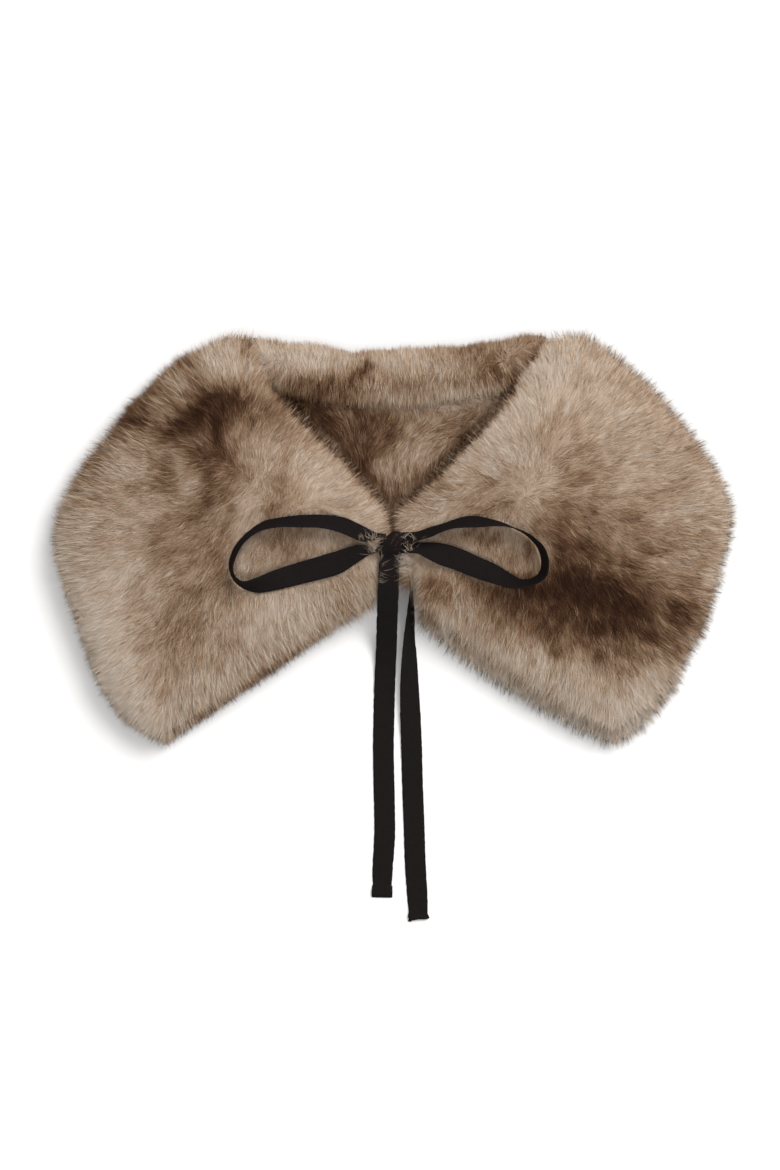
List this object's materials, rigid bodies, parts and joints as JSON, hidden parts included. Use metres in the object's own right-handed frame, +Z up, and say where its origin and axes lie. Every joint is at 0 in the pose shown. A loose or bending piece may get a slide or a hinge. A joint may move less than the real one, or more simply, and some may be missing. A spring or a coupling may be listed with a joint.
{
  "type": "fur collar wrap",
  "caption": "Double-faced fur collar laid flat as worn, fronts lying over the back of the neck, tied at the front with a narrow tape bow whose tails run out below.",
  "frame": {"origin": "on the table, under the middle of the whole outline", "axes": "+X across the collar towards the viewer's right, +Y from the bow towards the back of the neck, +Z up from the table"},
  "size_m": [0.4219, 0.365, 0.0536],
  "materials": {
    "outer_fur": "long-pile fur, cream with brown patches and dark tips",
    "inner_fur": "long-pile fur, brown, on the facing side",
    "tape": "matt black cotton twill tape"
  },
  "bodies": {
    "root": {"left_front_outer": "outer_fur", "left_front_inner": "inner_fur", "right_front_outer": "outer_fur", "right_front_inner": "inner_fur", "back_outer": "outer_fur", "back_inner": "inner_fur", "tape_knot": "tape", "bow_loop_left": "tape", "bow_loop_right": "tape", "tail_left": "tape", "tail_right": "tape"}
  },
  "joints": []
}
